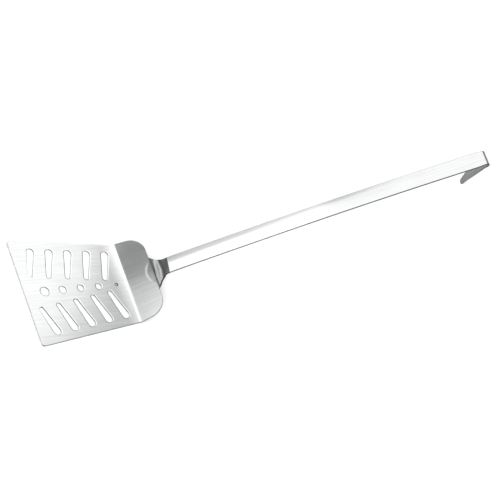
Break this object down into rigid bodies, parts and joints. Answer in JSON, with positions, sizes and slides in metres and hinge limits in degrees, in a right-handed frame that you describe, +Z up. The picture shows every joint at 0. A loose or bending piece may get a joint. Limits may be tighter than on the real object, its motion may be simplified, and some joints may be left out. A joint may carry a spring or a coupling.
{
  "type": "grill spatula",
  "caption": "Long-handled stainless steel grill spatula with a perforated tapered blade, raised shoulder, arched strip handle and folded hanging hook.",
  "frame": {"origin": "on the underside of the flat blade, on its centre line, in the solid web halfway between the second and third round holes", "axes": "+X along the centre line from the front edge toward the handle and hook, +Y across the blade, +Z up out of the blade's upper face"},
  "size_m": [0.4537, 0.1208, 0.2129],
  "materials": {
    "satin_sheet": "stainless sheet with a fine satin grain across the blade",
    "satin_strip": "stainless strip with a fine satin grain along the handle",
    "weld_metal": "dull stainless weld bead, brushed over"
  },
  "bodies": {
    "root": {"blade": "satin_sheet", "handle": "satin_strip", "weld_lap_end": "weld_metal", "weld_left": "weld_metal", "weld_right": "weld_metal"}
  },
  "joints": []
}
